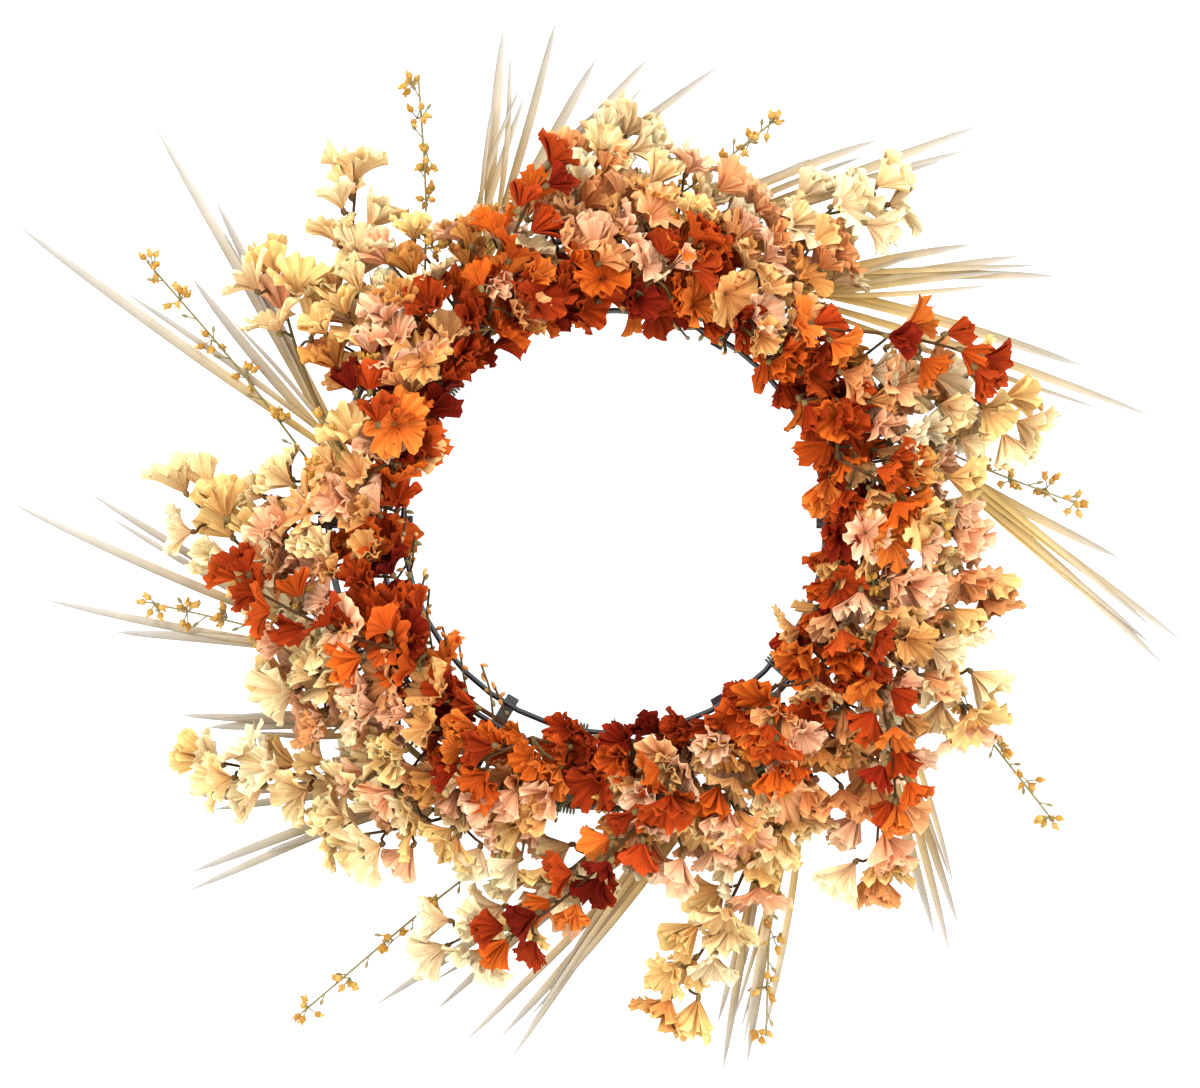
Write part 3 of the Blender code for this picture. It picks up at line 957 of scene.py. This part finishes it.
VIEW_WIDTH = 0.732
VIEW_DISTANCE = 4.0
VIEW_MIDDLE = CENTRE + Vector((-9 * MM, 0, -13.5 * MM))
VIEW_PLANE_DEPTH = 36 * MM
SENSOR_WIDTH = 36
FLOOR_HALF = 1.2
FLOOR_DROP = 1.0
SKY_STRENGTH = 1.52


def add_camera():
    data = bpy.data.cameras.new("camera")
    data.sensor_width = SENSOR_WIDTH
    data.lens = data.sensor_width * VIEW_DISTANCE / VIEW_WIDTH
    camera = bpy.data.objects.new("camera", data)
    camera.location = (VIEW_MIDDLE.x, DOOR_Y - VIEW_PLANE_DEPTH - VIEW_DISTANCE, VIEW_MIDDLE.z)
    camera.rotation_euler = (math.radians(90), 0, 0)
    bpy.context.scene.collection.objects.link(camera)
    bpy.context.scene.camera = camera


def add_light(name, where, size, power):
    """A square lamp, in metres and watts, aimed at the ring's middle."""
    data = bpy.data.lights.new(name, "AREA")
    data.size = size
    data.energy = power
    light = bpy.data.objects.new(name, data)
    light.location = where
    light.rotation_euler = (Vector(where) - CENTRE).to_track_quat("Z", "Y").to_euler()
    bpy.context.scene.collection.objects.link(light)


def add_floor():
    z = cad_box[0][2] - FLOOR_DROP
    mesh = bpy.data.meshes.new("floor")
    corners = [(x * FLOOR_HALF, y * FLOOR_HALF, z) for x, y in ((-1, -1), (1, -1), (1, 1), (-1, 1))]
    mesh.from_pydata(corners, [], [(0, 1, 2, 3)])
    floor = bpy.data.objects.new("floor", mesh)
    made, _, _, shader = new_material("pale_floor", roughness=0.9)
    shader.inputs["Base Color"].default_value = (0.9, 0.9, 0.89, 1)
    mesh.materials.append(made)
    bpy.context.scene.collection.objects.link(floor)


def add_studio():
    """A white sky, a key light from the upper left and a weak fill from the right."""
    world = bpy.data.worlds.new("studio")
    world.use_nodes = True
    sky = world.node_tree.nodes["Background"]
    sky.inputs["Color"].default_value = (1, 1, 1, 1)
    sky.inputs["Strength"].default_value = SKY_STRENGTH
    bpy.context.scene.world = world
    bpy.context.scene.view_settings.view_transform = "Standard"
    add_light("key", (-1.6, -3.5, 1.9), size=1.3, power=72)
    add_light("fill", (1.6, -2.0, 0.2), size=1.4, power=20)


add_camera()
add_studio()
add_floor()
dress_frame()
build_sprays()
build_blades()
build_sprigs()
build_wraps()
